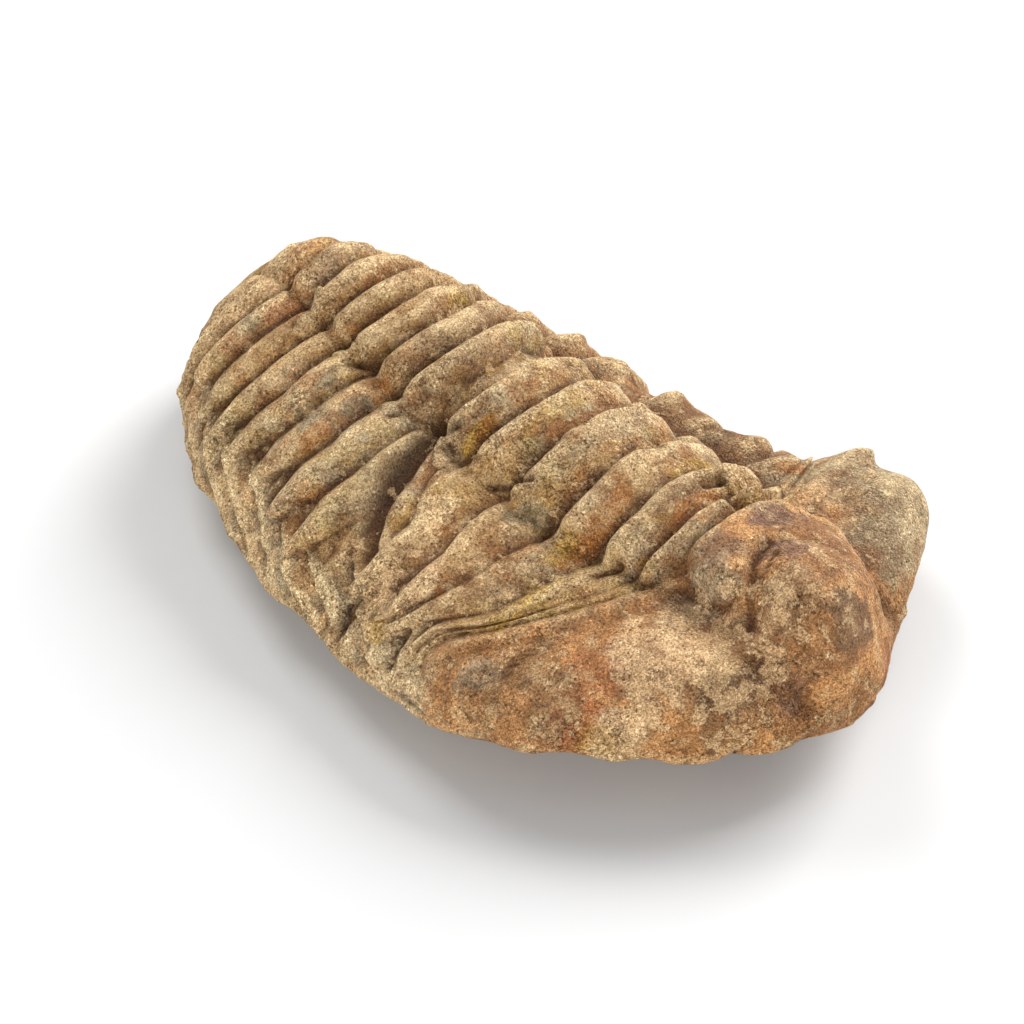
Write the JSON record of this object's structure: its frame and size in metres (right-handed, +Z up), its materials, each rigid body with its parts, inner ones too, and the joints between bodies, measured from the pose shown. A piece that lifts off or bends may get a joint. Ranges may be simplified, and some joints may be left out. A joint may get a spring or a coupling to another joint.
{
  "type": "trilobite fossil",
  "caption": "Loose fossil trilobite in one piece of sandy brown stone, with a lobed head, a vaulted ringed back, ribbed flanks and a rounded tail, resting on its belly.",
  "frame": {"origin": "on the surface the stone rests on, below the centre of its bounding box", "axes": "+Z up, +Y from head to tail along the body, -X the animal's right side"},
  "size_m": [0.0494, 0.0756, 0.0194],
  "materials": {
    "fossil_stone": "matt, sandy, stained with iron"
  },
  "bodies": {
    "root": {"trilobite_fossil": "fossil_stone"}
  },
  "joints": []
}
